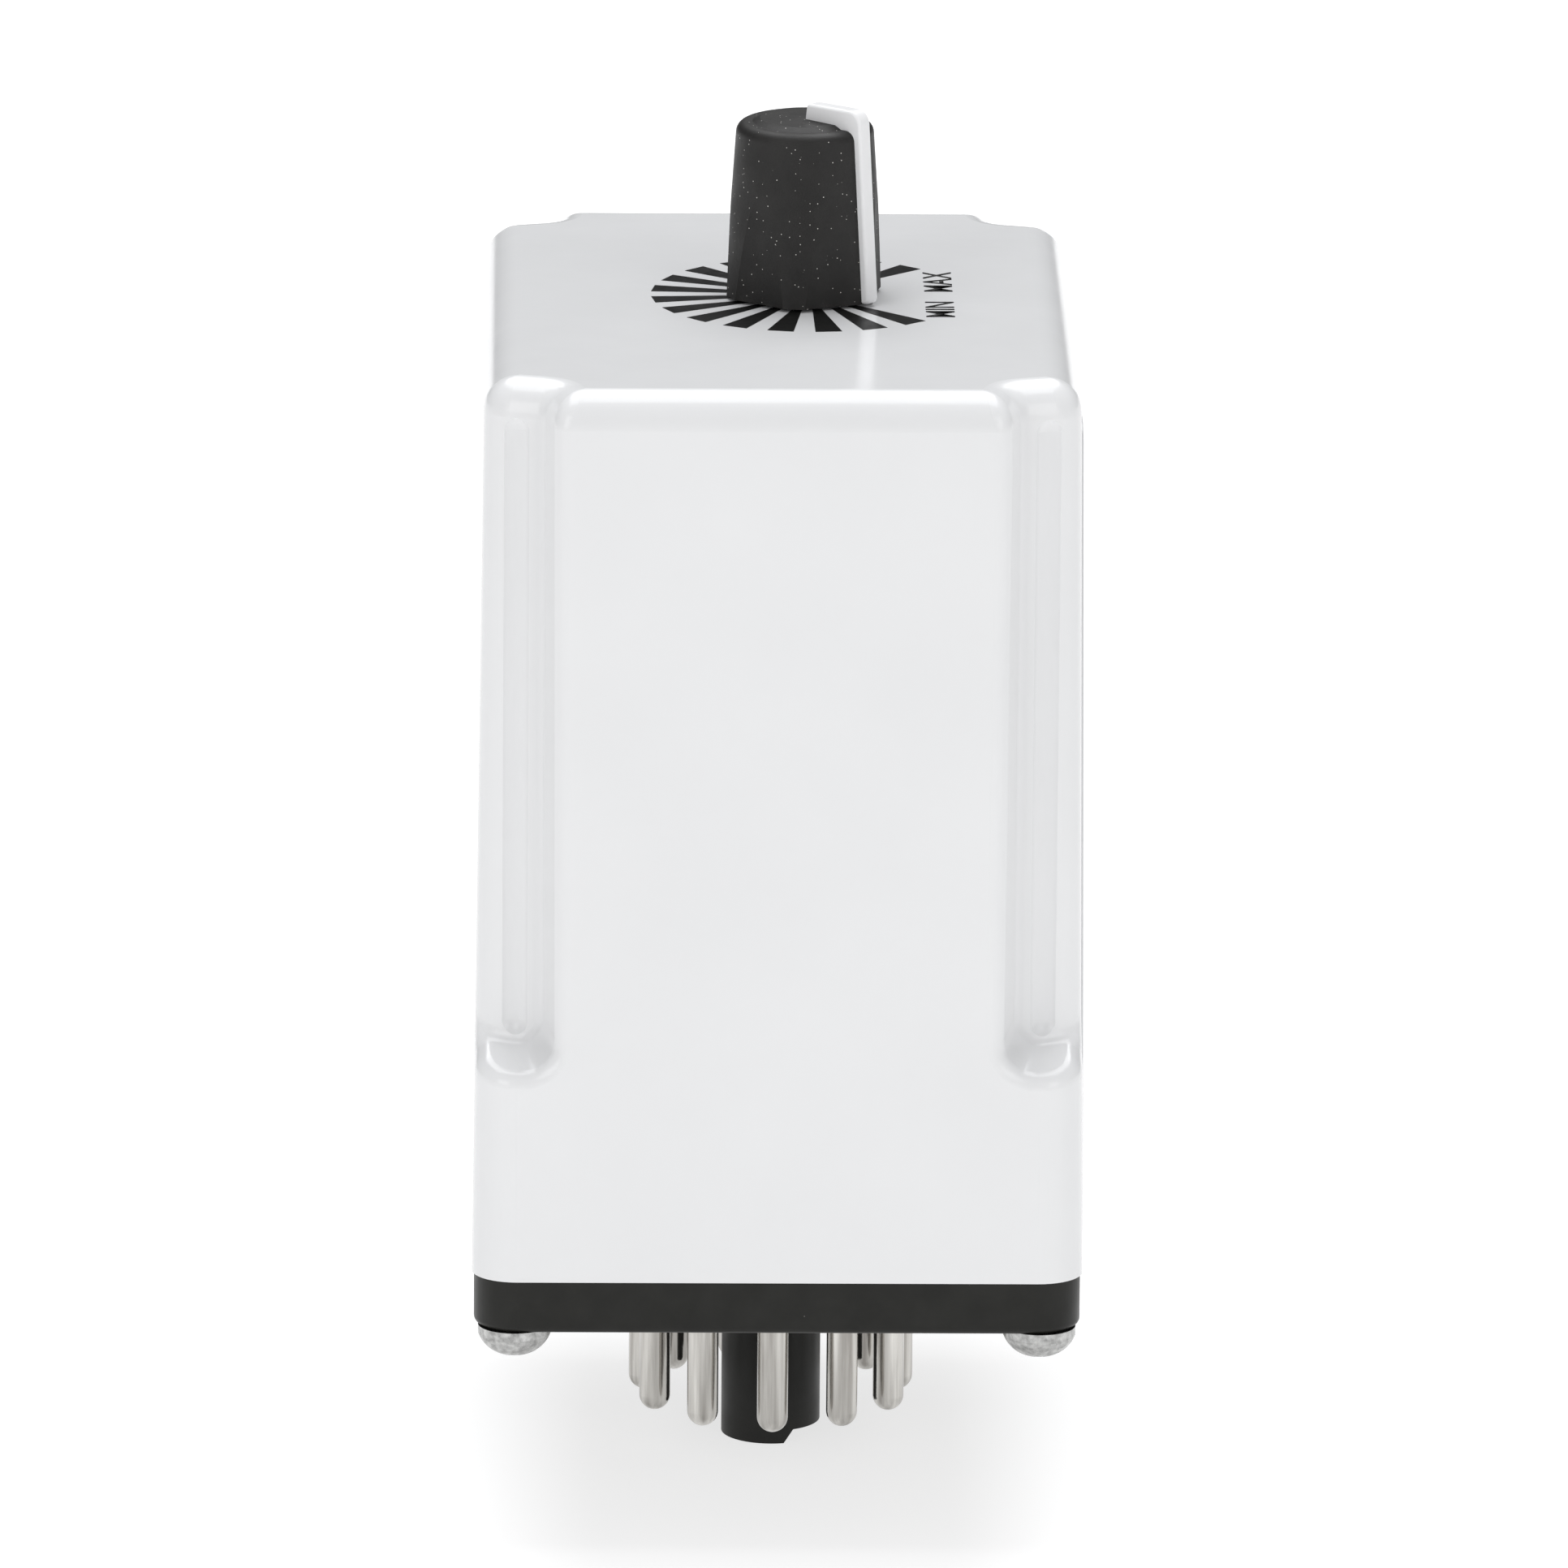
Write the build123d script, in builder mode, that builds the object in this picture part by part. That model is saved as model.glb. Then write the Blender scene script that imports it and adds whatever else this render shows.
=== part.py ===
from build123d import *
import math
import os

# Plug-in time-delay relay: eleven round pins on a circle round a key post, set by a knob on top.
# Origin: centre of the pin circle, on the underside of the base plate. +Z up, +Y to the rear.

# Case and base plate (mm)
case_width = 44.45
case_depth = 60.8
case_bottom = 3.9
case_top = 69.95
case_wall = 1.7
case_corner_r = 3.3
case_draft = 0.62
top_edge_r = 2.6
base_width = 44.1
base_depth = 60.7
base_edge_r = 0.5

# Corner recesses in the front and rear faces, above the skirt
recess_face_x = 15.95
recess_root_x = 17.2
recess_root_depth = 4.0
recess_far_x = 20.2
recess_far_depth = 4.9
groove_x = 19.4
groove_r = 1.3
groove_depth = 0.38
groove_low = 22.3
groove_high = 66.4
skirt_lip = 19.3
shelf_slope = 0.34
shelf_corner_r = 2.5
shelf_root_r = 1.0
column_r = 2.6
boss_edge_r = 1.3

# Side label
label_width = 43.0
label_bottom = 4.7
label_height = 61.0
label_thickness = 0.2

# Plug: pins and key post
pin_count = 11
pin_circle_r = 19.05 / 2
pin_r = 1.15
pin_length = 13.85
pin_shank_r = 1.0  # through the plate, so the pin seats on its shoulder
pin_head_r = 1.55
pin_head_height = 0.6
pin_tail_r = 0.6
pin_tail_top = 10.4
post_r = 3.67
post_length = 15.65
post_lug_edge = 0.95
post_lug_height = 1.0
post_lug_run = 0.7
key_rib_width = 2.0
key_rib_r = 4.6
key_rib_length = 13.5

# Screws that hold the base plate on
screw_x = 19.1
screw_y = 27.7
screw_head_r = 2.65
screw_head_height = 2.2
screw_r = 1.35
screw_top = 13.0
screw_boss_r = 2.4
screw_boss_top = 16.5
drive_width = 0.6
drive_length = 2.8
drive_depth = 1.1

# Knob
knob_x = 1.85
knob_y = 1.68
knob_bottom = 70.2
knob_top = 83.0
knob_bottom_r = 5.85
knob_top_r = 5.0
knob_flat_r = 5.3
knob_flat_count = 6
knob_flat_curve_r = 20.0
knob_rim_r = 0.8
knob_cap_r = 3.84
knob_cap_edge_r = 3.3
knob_cap_rise = 0.27
knob_cap_dome = 0.1
pointer_angle = -38
pointer_width = 1.3
pointer_proud = 0.55
pointer_rise = 1.5
pointer_inset = 0.9
pointer_start = 0.4
pointer_corner_r = 1.1
pointer_foot_r = 0.35
pointer_edge_r = 0.25

# Potentiometer
pot_r = 8.0
pot_wall = 0.8
pot_bottom = 53.0
pot_floor = 54.0
pot_rim = 61.0
pot_plate_top = 62.4
bushing_r = 3.5
bushing_top = 69.9
case_hole_r = 3.8
shaft_r = 3.0
shaft_fit = 0.05
shaft_bottom = 54.3
shaft_top = 80.8
shaft_flat = 2.4
shaft_flat_from = 71.5
rotor_r = 6.6
rotor_bottom = 56.2
rotor_top = 57.7
turn_range = 282.0
stop_half_angle = 13.0
stop_play = 0.5
element_inner_r = 4.5
element_outer_r = 6.8
element_thickness = 0.6
terminal_pitch = 5.0
terminal_width = 1.0

# Boards
board_thickness = 1.6
base_board_bottom = 8.0
base_board_width = 34.0
base_board_depth = 46.0
base_board_top = base_board_bottom + board_thickness
standoff_x = 15.0
standoff_y = 20.5
standoff_r = 1.8
timing_face = -13.6
timing_rear = timing_face + board_thickness
timing_width = 35.0
timing_top = 62.0
header_count = 7
header_pitch = 2.54
lead_below = 0.6

# Relay
relay_y = 9.5
relay_bottom = 10.7
relay_length = 30.0
relay_width = 20.0
relay_flange_top = 12.0
relay_floor = 14.2
relay_wall = 0.9
relay_top = 48.0
coil_x = -2.0
core_r = 2.5
pole_r = 4.0
pole_top = 36.0
bobbin_bottom = 15.8
bobbin_top = 34.8
bobbin_r = 6.4
bobbin_tube_r = 3.3
bobbin_flange = 1.0
winding_r = 6.0
yoke_thickness = 1.5
yoke_half_width = 6.0
yoke_leg_x = -10.5
yoke_leg_top = 36.8
armature_bottom = 37.0
armature_thickness = 1.2
armature_end_x = 5.5
spring_x = -12.3
spring_lug_z = 21.0
blade_z = 39.1
blade_thickness = 0.3
contact_x = 10.8
contact_r = 1.2
contact_height = 0.5
pole_offset = 5.0
strip_x = 12.7
strip_thickness = 0.4
nc_face = 40.0
no_face = 37.0

screw_corners = GridLocations(2 * screw_x, 2 * screw_y, 2, 2)
knob_axis = Axis((knob_x, knob_y, 0), (0, 0, 1))


def side_plane(x, y, angle=0.0):
    """Upright plane through (x, y): its own x runs outwards at the angle, its own y runs up."""
    turn = math.radians(angle)
    return Plane(
        origin=(x, y, 0),
        x_dir=(math.cos(turn), math.sin(turn), 0),
        z_dir=(math.sin(turn), -math.cos(turn), 0),
    )


def box_between(low, high, mode=Mode.ADD):
    """Box from its low corner to its high corner."""
    size = [b - a for a, b in zip(low, high)]
    with Locations(low):
        Box(*size, align=(Align.MIN, Align.MIN, Align.MIN), mode=mode)


def ring_sector(inner_r, outer_r, middle, half_angle):
    """Flat ring sector about the knob axis, centred on an angle."""
    angles = [math.radians(middle + turn) for turn in (-half_angle, 0, half_angle)]
    inner = [(inner_r * math.cos(a), inner_r * math.sin(a)) for a in angles]
    outer = [(outer_r * math.cos(a), outer_r * math.sin(a)) for a in angles]
    with BuildSketch(Plane((knob_x, knob_y, 0))) as sector:
        with BuildLine():
            ThreePointArc(*inner)
            Line(inner[2], outer[2])
            ThreePointArc(*outer)
            Line(outer[0], inner[0])
        make_face()
    return sector.sketch


def in_four_corners(front_right):
    """The cutter at the front right, with its mirror images at the other three corners."""
    front_left = mirror(front_right, about=Plane.YZ)
    rear_right = mirror(front_right, about=Plane.XZ)
    rear_left = mirror(front_left, about=Plane.XZ)
    return [front_right, front_left, rear_right, rear_left]


def corner_recesses(grow):
    """Four cutters for the corner recesses; grow enlarges them by the wall for the hollow inside."""
    front = -case_depth / 2
    wall_lean = (recess_root_x - recess_face_x) / recess_root_depth
    reach = 2.0
    out_x = case_width / 2 + reach
    out_y = front - reach
    floor_slope = (recess_far_depth - recess_root_depth) / (recess_far_x - recess_root_x)
    far_y = front + recess_root_depth + floor_slope * (out_x - recess_root_x) + grow
    rear_y = far_y + 1
    low_z = skirt_lip - 2 * reach - grow
    with BuildPart() as recess:
        with BuildSketch(Plane.XY.offset(low_z)):
            with BuildLine():
                Polyline(
                    (recess_face_x - reach * wall_lean - grow, out_y),
                    (recess_root_x - grow, front + recess_root_depth + grow),
                    (out_x, far_y),
                    (out_x, out_y),
                    close=True,
                )
            make_face()
        extrude(amount=case_top)
        with BuildSketch(Plane.YZ):
            with BuildLine():
                Polyline(
                    (out_y, low_z),
                    (rear_y, low_z),
                    (rear_y, skirt_lip - grow + shelf_slope * (rear_y - front)),
                    (out_y, skirt_lip - grow + shelf_slope * (out_y - front)),
                    close=True,
                )
            make_face()
        extrude(amount=out_x, mode=Mode.SUBTRACT)
    return in_four_corners(recess.part)


def corner_grooves():
    """Four cutters for the round-ended groove down the floor of each recess."""
    share = (groove_x - recess_root_x) / (recess_far_x - recess_root_x)
    floor_depth = recess_root_depth + share * (recess_far_depth - recess_root_depth)
    axis_y = -case_depth / 2 + floor_depth + groove_depth - groove_r
    with BuildPart() as groove:
        with BuildSketch(Plane.XY.offset(groove_low)):
            with Locations((groove_x, axis_y)):
                Circle(groove_r)
        extrude(amount=groove_high - groove_low)
        with Locations((groove_x, axis_y, groove_low), (groove_x, axis_y, groove_high)):
            Sphere(groove_r)
    return in_four_corners(groove.part)


def upright(edge):
    """True for a long edge that runs nearly straight up."""
    rise = abs((edge @ 1 - edge @ 0).Z)
    return edge.length > 35 and rise > 0.95 * edge.length


def between(low, value, high):
    return low < abs(value) < high


# The hollow inside the case follows the outside, one wall thickness in
with BuildPart() as case_hollow:
    with BuildSketch(Plane.XY.offset(case_bottom)):
        RectangleRounded(case_width - 2 * case_wall, case_depth - 2 * case_wall, case_corner_r - case_wall)
    extrude(amount=case_top - case_wall - case_bottom, taper=case_draft)
    for cutter in corner_recesses(case_wall):
        add(cutter, mode=Mode.SUBTRACT)

with BuildPart() as case_shell:
    with BuildSketch(Plane.XY.offset(case_bottom)):
        RectangleRounded(case_width, case_depth, case_corner_r)
    extrude(amount=case_top - case_bottom, taper=case_draft)
    for cutter in corner_recesses(0):
        add(cutter, mode=Mode.SUBTRACT)
    # inner lower corner of each recess, where its wall runs out into the shelf
    shelf_corners = case_shell.edges().filter_by(
        lambda e: between(skirt_lip, e.center().Z, skirt_lip + 1.2)
        and between(recess_face_x + 0.25, e.center().X, recess_root_x)
        and e.length < 5
    )
    fillet(shelf_corners, shelf_corner_r)
    columns = case_shell.edges().filter_by(upright).filter_by(lambda e: abs(e.center().X) > recess_far_x)
    fillet(columns, column_r)
    shelf_roots = case_shell.edges().filter_by(
        lambda e: between(skirt_lip + 1.3, e.center().Z, skirt_lip + 2.5)
        and abs(e.center().Y) < case_depth / 2 - recess_root_depth + 0.5
        and abs(e.center().X) < case_width / 2 - 0.25
    )
    fillet(shelf_roots, shelf_root_r)
    # the front edge of each boss, the lip of the shelf and its run round the side are one chain
    boss_edges = case_shell.edges().filter_by(upright).filter_by(
        lambda e: abs(e.center().X) < (recess_face_x + recess_root_x) / 2
    )
    lips = case_shell.edges().filter_by(
        lambda e: between(skirt_lip - 0.5, e.center().Z, skirt_lip + 3)
        and abs(e.center().Y) > case_depth / 2 - 1.5
        and abs(e.center().X) > recess_face_x - 1
    )
    lip_ends = case_shell.edges().filter_by(
        lambda e: between(skirt_lip + 1, e.center().Z, skirt_lip + 3)
        and abs(e.center().X) > case_width / 2 - 0.25
    )
    fillet(boss_edges + lips + lip_ends, boss_edge_r)
    fillet(case_shell.faces().sort_by(Axis.Z)[-1].edges(), top_edge_r)
    for cutter in corner_grooves():
        add(cutter, mode=Mode.SUBTRACT)
    add(case_hollow.part, mode=Mode.SUBTRACT)
    # bosses for the base screws, in the four corners of the skirt
    with BuildSketch(Plane.XY.offset(case_bottom)):
        with screw_corners:
            Circle(screw_boss_r)
    extrude(amount=screw_boss_top - case_bottom)
    with BuildSketch(Plane.XY.offset(case_bottom)):
        with screw_corners:
            Circle(screw_r + shaft_fit)
    extrude(amount=screw_top + 0.5 - case_bottom, mode=Mode.SUBTRACT)
    # hole for the shaft's bushing
    with BuildSketch(Plane.XY.offset(case_top + 1)):
        with Locations((knob_x, knob_y)):
            Circle(case_hole_r)
    extrude(amount=-(case_wall + 2), mode=Mode.SUBTRACT)

case_shell.part.label = "case_shell"
export_step(case_shell.part, "parts/case_shell.step")

# The side face leans inwards by the draft, and the label lies flat on it
lean = math.radians(case_draft)
side_normal = (math.cos(lean), 0, math.sin(lean))
label_middle = label_bottom + label_height / 2
label_plane = Plane(
    origin=(case_width / 2 - (label_middle - case_bottom) * math.tan(lean), 0, label_middle),
    x_dir=(0, 1, 0),
    z_dir=side_normal,
)
with BuildPart() as side_label:
    with BuildSketch(label_plane):
        RectangleRounded(label_width, label_height, 1.5)
    extrude(amount=label_thickness)

side_label.part.label = "side_label"
export_step(side_label.part, "parts/side_label.step")

# Plug pins: round nose, staked head above the plate, thin tail up through the lower board
plug_pins = []
for index in range(pin_count):
    pin_angle = math.radians(-90 + index * 360 / pin_count)
    pin_x = pin_circle_r * math.cos(pin_angle)
    pin_y = pin_circle_r * math.sin(pin_angle)
    nose = pin_r * math.sqrt(0.5)
    nose_top = pin_r - pin_length
    with BuildPart() as plug_pin:
        with BuildSketch(side_plane(pin_x, pin_y)):
            with BuildLine():
                ThreePointArc((0, -pin_length), (nose, nose_top - nose), (pin_r, nose_top))
                Polyline(
                    (pin_r, nose_top),
                    (pin_r, 0),
                    (pin_shank_r, 0),
                    (pin_shank_r, case_bottom),
                    (pin_head_r, case_bottom),
                    (pin_head_r, case_bottom + pin_head_height),
                    (pin_tail_r, case_bottom + pin_head_height),
                    (pin_tail_r, pin_tail_top),
                    (0, pin_tail_top),
                    (0, -pin_length),
                )
            make_face()
        revolve(axis=Axis((pin_x, pin_y, 0), (0, 0, 1)))
    pin_name = f"plug_pin_{index + 1:02d}"
    plug_pin.part.label = pin_name
    export_step(plug_pin.part, f"parts/{pin_name}.step")
    plug_pins.append(plug_pin.part)

# Base screws: pan heads below the plate, with a cross drive
with BuildPart() as base_screws:
    for corner in screw_corners:
        place = corner.position
        with BuildSketch(side_plane(place.X, place.Y)):
            with BuildLine():
                ThreePointArc(
                    (0, -screw_head_height),
                    (0.66 * screw_head_r, -0.82 * screw_head_height),
                    (screw_head_r, -0.28 * screw_head_height),
                )
                Polyline(
                    (screw_head_r, -0.28 * screw_head_height),
                    (screw_head_r, 0),
                    (screw_r, 0),
                    (screw_r, screw_top),
                    (0, screw_top),
                    (0, -screw_head_height),
                )
            make_face()
        revolve(axis=Axis(place, (0, 0, 1)))
    with BuildSketch(Plane.XY.offset(-screw_head_height)):
        with screw_corners:
            Rectangle(drive_width, drive_length)
            Rectangle(drive_length, drive_width)
    extrude(amount=drive_depth, mode=Mode.SUBTRACT)

base_screws.part.label = "base_screws"
export_step(base_screws.part, "parts/base_screws.step")

# Base plate, moulded with the key post below and the board's standoffs above
with BuildPart() as base_plate:
    with BuildSketch():
        RectangleRounded(base_width, base_depth, case_corner_r)
    extrude(amount=case_bottom)
    fillet(base_plate.faces().sort_by(Axis.Z)[0].edges(), base_edge_r)
    # rib that locates the plate inside the case, clear of the screw bosses
    with BuildSketch(Plane.XY.offset(case_bottom)):
        RectangleRounded(40.0, 49.0, 1.0)
        RectangleRounded(36.8, 45.8, 0.5, mode=Mode.SUBTRACT)
    extrude(amount=1.6)
    with BuildSketch(Plane.XY.offset(case_bottom)):
        with GridLocations(2 * standoff_x, 2 * standoff_y, 2, 2):
            Circle(standoff_r)
    extrude(amount=base_board_bottom - case_bottom)
    # key post with its rib at the rear
    with BuildSketch():
        Circle(post_r)
    extrude(amount=-post_length)
    with BuildSketch():
        with Locations((0, key_rib_r / 2)):
            Rectangle(key_rib_width, key_rib_r)
    extrude(amount=-key_rib_length)
    # pilot lug on the post's end, cut to a slope on one side
    with BuildSketch(Plane.XY.offset(-post_length)):
        Circle(post_r)
    extrude(amount=-post_lug_height)
    with BuildSketch(Plane.XZ) as lug_slope:
        with BuildLine():
            Polyline(
                (post_lug_edge + post_lug_run, -post_length),
                (post_lug_edge, -post_length - post_lug_height),
                (post_lug_edge, -post_length - 2 * post_lug_height),
                (2 * post_r, -post_length - 2 * post_lug_height),
                (2 * post_r, -post_length),
                close=True,
            )
        make_face()
    extrude(amount=post_r + 1, both=True, mode=Mode.SUBTRACT)
    with BuildSketch():
        with screw_corners:
            Circle(screw_r + 0.2)
    extrude(amount=case_bottom, mode=Mode.SUBTRACT)
    for pin in plug_pins:
        add(pin, mode=Mode.SUBTRACT)

base_plate.part.label = "base_plate"
export_step(base_plate.part, "parts/base_plate.step")

# White pointer, let into the knob's top and side
pointer_plane = side_plane(knob_x, knob_y, pointer_angle)
side_slope = (knob_bottom_r - knob_top_r) / (knob_top - knob_bottom)
pointer_top = knob_top + pointer_rise
pointer_low = knob_bottom
outer_top_x = knob_top_r + pointer_proud - side_slope * pointer_rise
outer_low_x = knob_top_r + pointer_proud + side_slope * (knob_top - pointer_low)
pointer_depth = pointer_proud + pointer_inset
inner_z = knob_top - pointer_inset
with BuildPart() as knob_pointer:
    with BuildSketch(pointer_plane) as pointer_profile:
        with BuildLine():
            Polyline(
                (pointer_start + 0.3, pointer_top),
                (outer_top_x, pointer_top),
                (outer_low_x, pointer_low),
                (outer_low_x - pointer_depth, pointer_low),
                (outer_top_x - pointer_depth, inner_z),
                (pointer_start, inner_z),
                close=True,
            )
        make_face()
        fillet(pointer_profile.vertices().group_by(Axis.Y)[-1].sort_by(Axis.X)[-1], pointer_corner_r)
        fillet(pointer_profile.vertices().group_by(Axis.Y)[0].sort_by(Axis.X)[-1], pointer_foot_r)
    extrude(amount=pointer_width / 2, both=True)
    # soften the long edges that stand outside the knob
    outer_edges = knob_pointer.edges().filter_by(
        lambda e: e.center().Z > knob_top + 0.5 * pointer_rise
        or math.hypot(e.center().X - knob_x, e.center().Y - knob_y) > knob_top_r + 0.3
    )
    fillet(outer_edges, pointer_edge_r)

knob_pointer.part.label = "knob_pointer"
export_step(knob_pointer.part, "parts/knob_pointer.step")

# Shaft with a flat near its top, turned by the knob
flat_plane = Plane(
    origin=(knob_x, knob_y, shaft_flat_from),
    x_dir=(math.cos(math.radians(pointer_angle)), math.sin(math.radians(pointer_angle)), 0),
    z_dir=(0, 0, 1),
)
with BuildPart() as pot_shaft:
    with BuildSketch(Plane.XY.offset(shaft_bottom)):
        with Locations((knob_x, knob_y)):
            Circle(shaft_r)
    extrude(amount=shaft_top - shaft_bottom)
    chamfer(pot_shaft.edges().filter_by(GeomType.CIRCLE).sort_by(Axis.Z)[-1], 0.4)
    with BuildSketch(flat_plane):
        with Locations((shaft_flat, 0)):
            Rectangle(2, 2 * shaft_r, align=(Align.MIN, Align.CENTER))
    extrude(amount=shaft_top, mode=Mode.SUBTRACT)

pot_shaft.part.label = "pot_shaft"
export_step(pot_shaft.part, "parts/pot_shaft.step")

with BuildPart() as knob_body:
    with BuildSketch(side_plane(knob_x, knob_y)) as knob_profile:
        with BuildLine():
            Polyline(
                (0, knob_bottom),
                (knob_bottom_r, knob_bottom),
                (knob_top_r, knob_top),
                (knob_cap_r, knob_top),
                (knob_cap_edge_r, knob_top + knob_cap_rise),
                (0, knob_top + knob_cap_rise + knob_cap_dome),
                (0, knob_bottom),
            )
        make_face()
        rim_level = knob_profile.vertices().filter_by(lambda v: abs(v.Y - knob_top) < 0.01)
        fillet(rim_level.sort_by(Axis.X)[-1], knob_rim_r)
    revolve(axis=knob_axis)
    # six shallow flats that run out towards the top, with the pointer on a land between two
    flat_start = pointer_angle + 180 / knob_flat_count
    with BuildSketch(Plane((knob_x, knob_y, knob_bottom))):
        with PolarLocations(knob_flat_r + knob_flat_curve_r, knob_flat_count, start_angle=flat_start):
            Circle(knob_flat_curve_r)
    extrude(amount=knob_top - knob_bottom, mode=Mode.SUBTRACT)
    # hollow underside, and a bore with a flat that matches the shaft
    with BuildSketch(Plane((knob_x, knob_y, knob_bottom))):
        Circle(knob_flat_r - 0.9)
    extrude(amount=0.9, mode=Mode.SUBTRACT)
    with BuildSketch(flat_plane) as bore_profile:
        Circle(shaft_r + 0.02)
        with Locations((shaft_flat + 0.02, 0)):
            Rectangle(2, 2 * shaft_r, align=(Align.MIN, Align.CENTER), mode=Mode.SUBTRACT)
    extrude(amount=shaft_top + 0.2 - shaft_flat_from, mode=Mode.SUBTRACT)
    with BuildSketch(Plane((knob_x, knob_y, knob_bottom))):
        Circle(shaft_r + 0.02)
    extrude(amount=shaft_flat_from - knob_bottom, mode=Mode.SUBTRACT)
    add(knob_pointer.part, mode=Mode.SUBTRACT)

knob_body.part.label = "knob_body"
export_step(knob_body.part, "parts/knob_body.step")

# Potentiometer: what turns
with BuildPart() as pot_rotor:
    with BuildSketch(Plane.XY.offset(rotor_bottom)):
        with Locations((knob_x, knob_y)):
            Circle(rotor_r)
            Circle(shaft_r, mode=Mode.SUBTRACT)
    extrude(amount=rotor_top - rotor_bottom)
    tooth = ring_sector(element_inner_r, rotor_r - 0.2, pointer_angle, stop_half_angle)
    with BuildSketch(Plane.XY.offset(rotor_top)):
        add(tooth)
    extrude(amount=1.6)

pot_rotor.part.label = "pot_rotor"
export_step(pot_rotor.part, "parts/pot_rotor.step")

with BuildPart() as pot_wiper:
    with BuildSketch(Plane.XY.offset(rotor_bottom)):
        add(ring_sector(shaft_r + 0.5, element_outer_r - 0.6, pointer_angle, 9))
    extrude(amount=-0.3)
    with BuildSketch(Plane.XY.offset(rotor_bottom - 0.3)):
        add(ring_sector(element_inner_r + 0.7, element_outer_r - 0.9, pointer_angle, 5))
    extrude(amount=-(rotor_bottom - 0.3 - pot_floor - element_thickness - 0.05))

pot_wiper.part.label = "pot_wiper"
export_step(pot_wiper.part, "parts/pot_wiper.step")

# Potentiometer: what stays. The free sector between the two stops faces +X.
free_angle = 360 - turn_range
stop_middle = pointer_angle + free_angle / 2
with BuildPart() as pot_element:
    with BuildSketch(Plane.XY.offset(pot_floor)):
        with Locations((knob_x, knob_y)):
            Circle(element_outer_r)
            Circle(element_inner_r, mode=Mode.SUBTRACT)
        element_gap = ring_sector(element_inner_r - 1, element_outer_r + 1, stop_middle, free_angle / 2 - 9)
        add(element_gap, mode=Mode.SUBTRACT)
    extrude(amount=element_thickness)

pot_element.part.label = "pot_element"
export_step(pot_element.part, "parts/pot_element.step")

with BuildPart() as pot_terminals:
    for step in (-1, 0, 1):
        offset_x = step * terminal_pitch
        ring_y = math.sqrt(element_outer_r**2 - offset_x**2)
        box_between(
            (knob_x + offset_x - terminal_width / 2, timing_face - lead_below, pot_floor),
            (knob_x + offset_x + terminal_width / 2, knob_y - ring_y - 0.4, pot_floor + 0.5),
        )

pot_terminals.part.label = "pot_terminals"
export_step(pot_terminals.part, "parts/pot_terminals.step")

with BuildPart() as pot_housing:
    with BuildSketch(Plane.XY.offset(pot_bottom)):
        with Locations((knob_x, knob_y)):
            Circle(pot_r)
    extrude(amount=pot_rim - pot_bottom)
    with BuildSketch(Plane.XY.offset(pot_floor)):
        with Locations((knob_x, knob_y)):
            Circle(pot_r - pot_wall)
    extrude(amount=pot_rim - pot_floor, mode=Mode.SUBTRACT)
    add(pot_terminals.part, mode=Mode.SUBTRACT)

pot_housing.part.label = "pot_housing"
export_step(pot_housing.part, "parts/pot_housing.step")

with BuildPart() as pot_faceplate:
    with BuildSketch(Plane.XY.offset(pot_rim)):
        with Locations((knob_x, knob_y)):
            Circle(pot_r)
    extrude(amount=pot_plate_top - pot_rim)
    with BuildSketch(Plane.XY.offset(pot_plate_top)):
        with Locations((knob_x, knob_y)):
            Circle(bushing_r)
    extrude(amount=bushing_top - pot_plate_top)
    stop_lug_half = free_angle / 2 - stop_half_angle - stop_play
    with BuildSketch(Plane.XY.offset(pot_rim)):
        add(ring_sector(element_inner_r, pot_r - pot_wall - 0.2, stop_middle, stop_lug_half))
    extrude(amount=-(pot_rim - rotor_top - 0.5))
    with BuildSketch(Plane.XY.offset(pot_bottom)):
        with Locations((knob_x, knob_y)):
            Circle(shaft_r + shaft_fit)
    extrude(amount=bushing_top, mode=Mode.SUBTRACT)

pot_faceplate.part.label = "pot_faceplate"
export_step(pot_faceplate.part, "parts/pot_faceplate.step")

# Relay: contact strips stand in the base and carry their contacts on arms at the top
strip_bottom = base_board_bottom - lead_below


def contact_strip(pole_y, side, face, facing):
    """One fixed contact: side is +1 or -1 for the strip's place, facing the way the contact looks."""
    low_y = pole_y + min(side * 0.6, side * 2.4)
    high_y = pole_y + max(side * 0.6, side * 2.4)
    arm_near = face - facing * contact_height
    arm_far = arm_near - facing * strip_thickness
    arm_low = min(arm_near, arm_far)
    arm_high = max(arm_near, arm_far)
    with BuildPart() as strip:
        box_between((strip_x, low_y, strip_bottom), (strip_x + strip_thickness, high_y, arm_high))
        box_between((strip_x - 0.5, low_y, arm_low), (strip_x + strip_thickness, high_y, arm_high))
        box_between((contact_x - 1.4, pole_y - 2.0, arm_low), (strip_x - 0.3, pole_y + 2.0, arm_high))
        with BuildSketch(Plane.XY.offset(arm_near)):
            with Locations((contact_x, pole_y)):
                Circle(contact_r)
        extrude(amount=facing * contact_height)
    return strip.part


pole_places = [relay_y - pole_offset, relay_y + pole_offset]
with BuildPart() as relay_no_contacts:
    for pole_y in pole_places:
        add(contact_strip(pole_y, -1, no_face, 1))

relay_no_contacts.part.label = "relay_no_contacts"
export_step(relay_no_contacts.part, "parts/relay_no_contacts.step")

with BuildPart() as relay_nc_contacts:
    for pole_y in pole_places:
        add(contact_strip(pole_y, 1, nc_face, -1))

relay_nc_contacts.part.label = "relay_nc_contacts"
export_step(relay_nc_contacts.part, "parts/relay_nc_contacts.step")

common_x = 7.45
common_offset = 7.4
common_top = 24.0
with BuildPart() as relay_common_blades:
    for side in (-1, 1):
        middle_y = relay_y + side * common_offset
        box_between(
            (common_x - 0.25, middle_y - 0.8, strip_bottom),
            (common_x + 0.25, middle_y + 0.8, common_top),
        )

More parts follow.
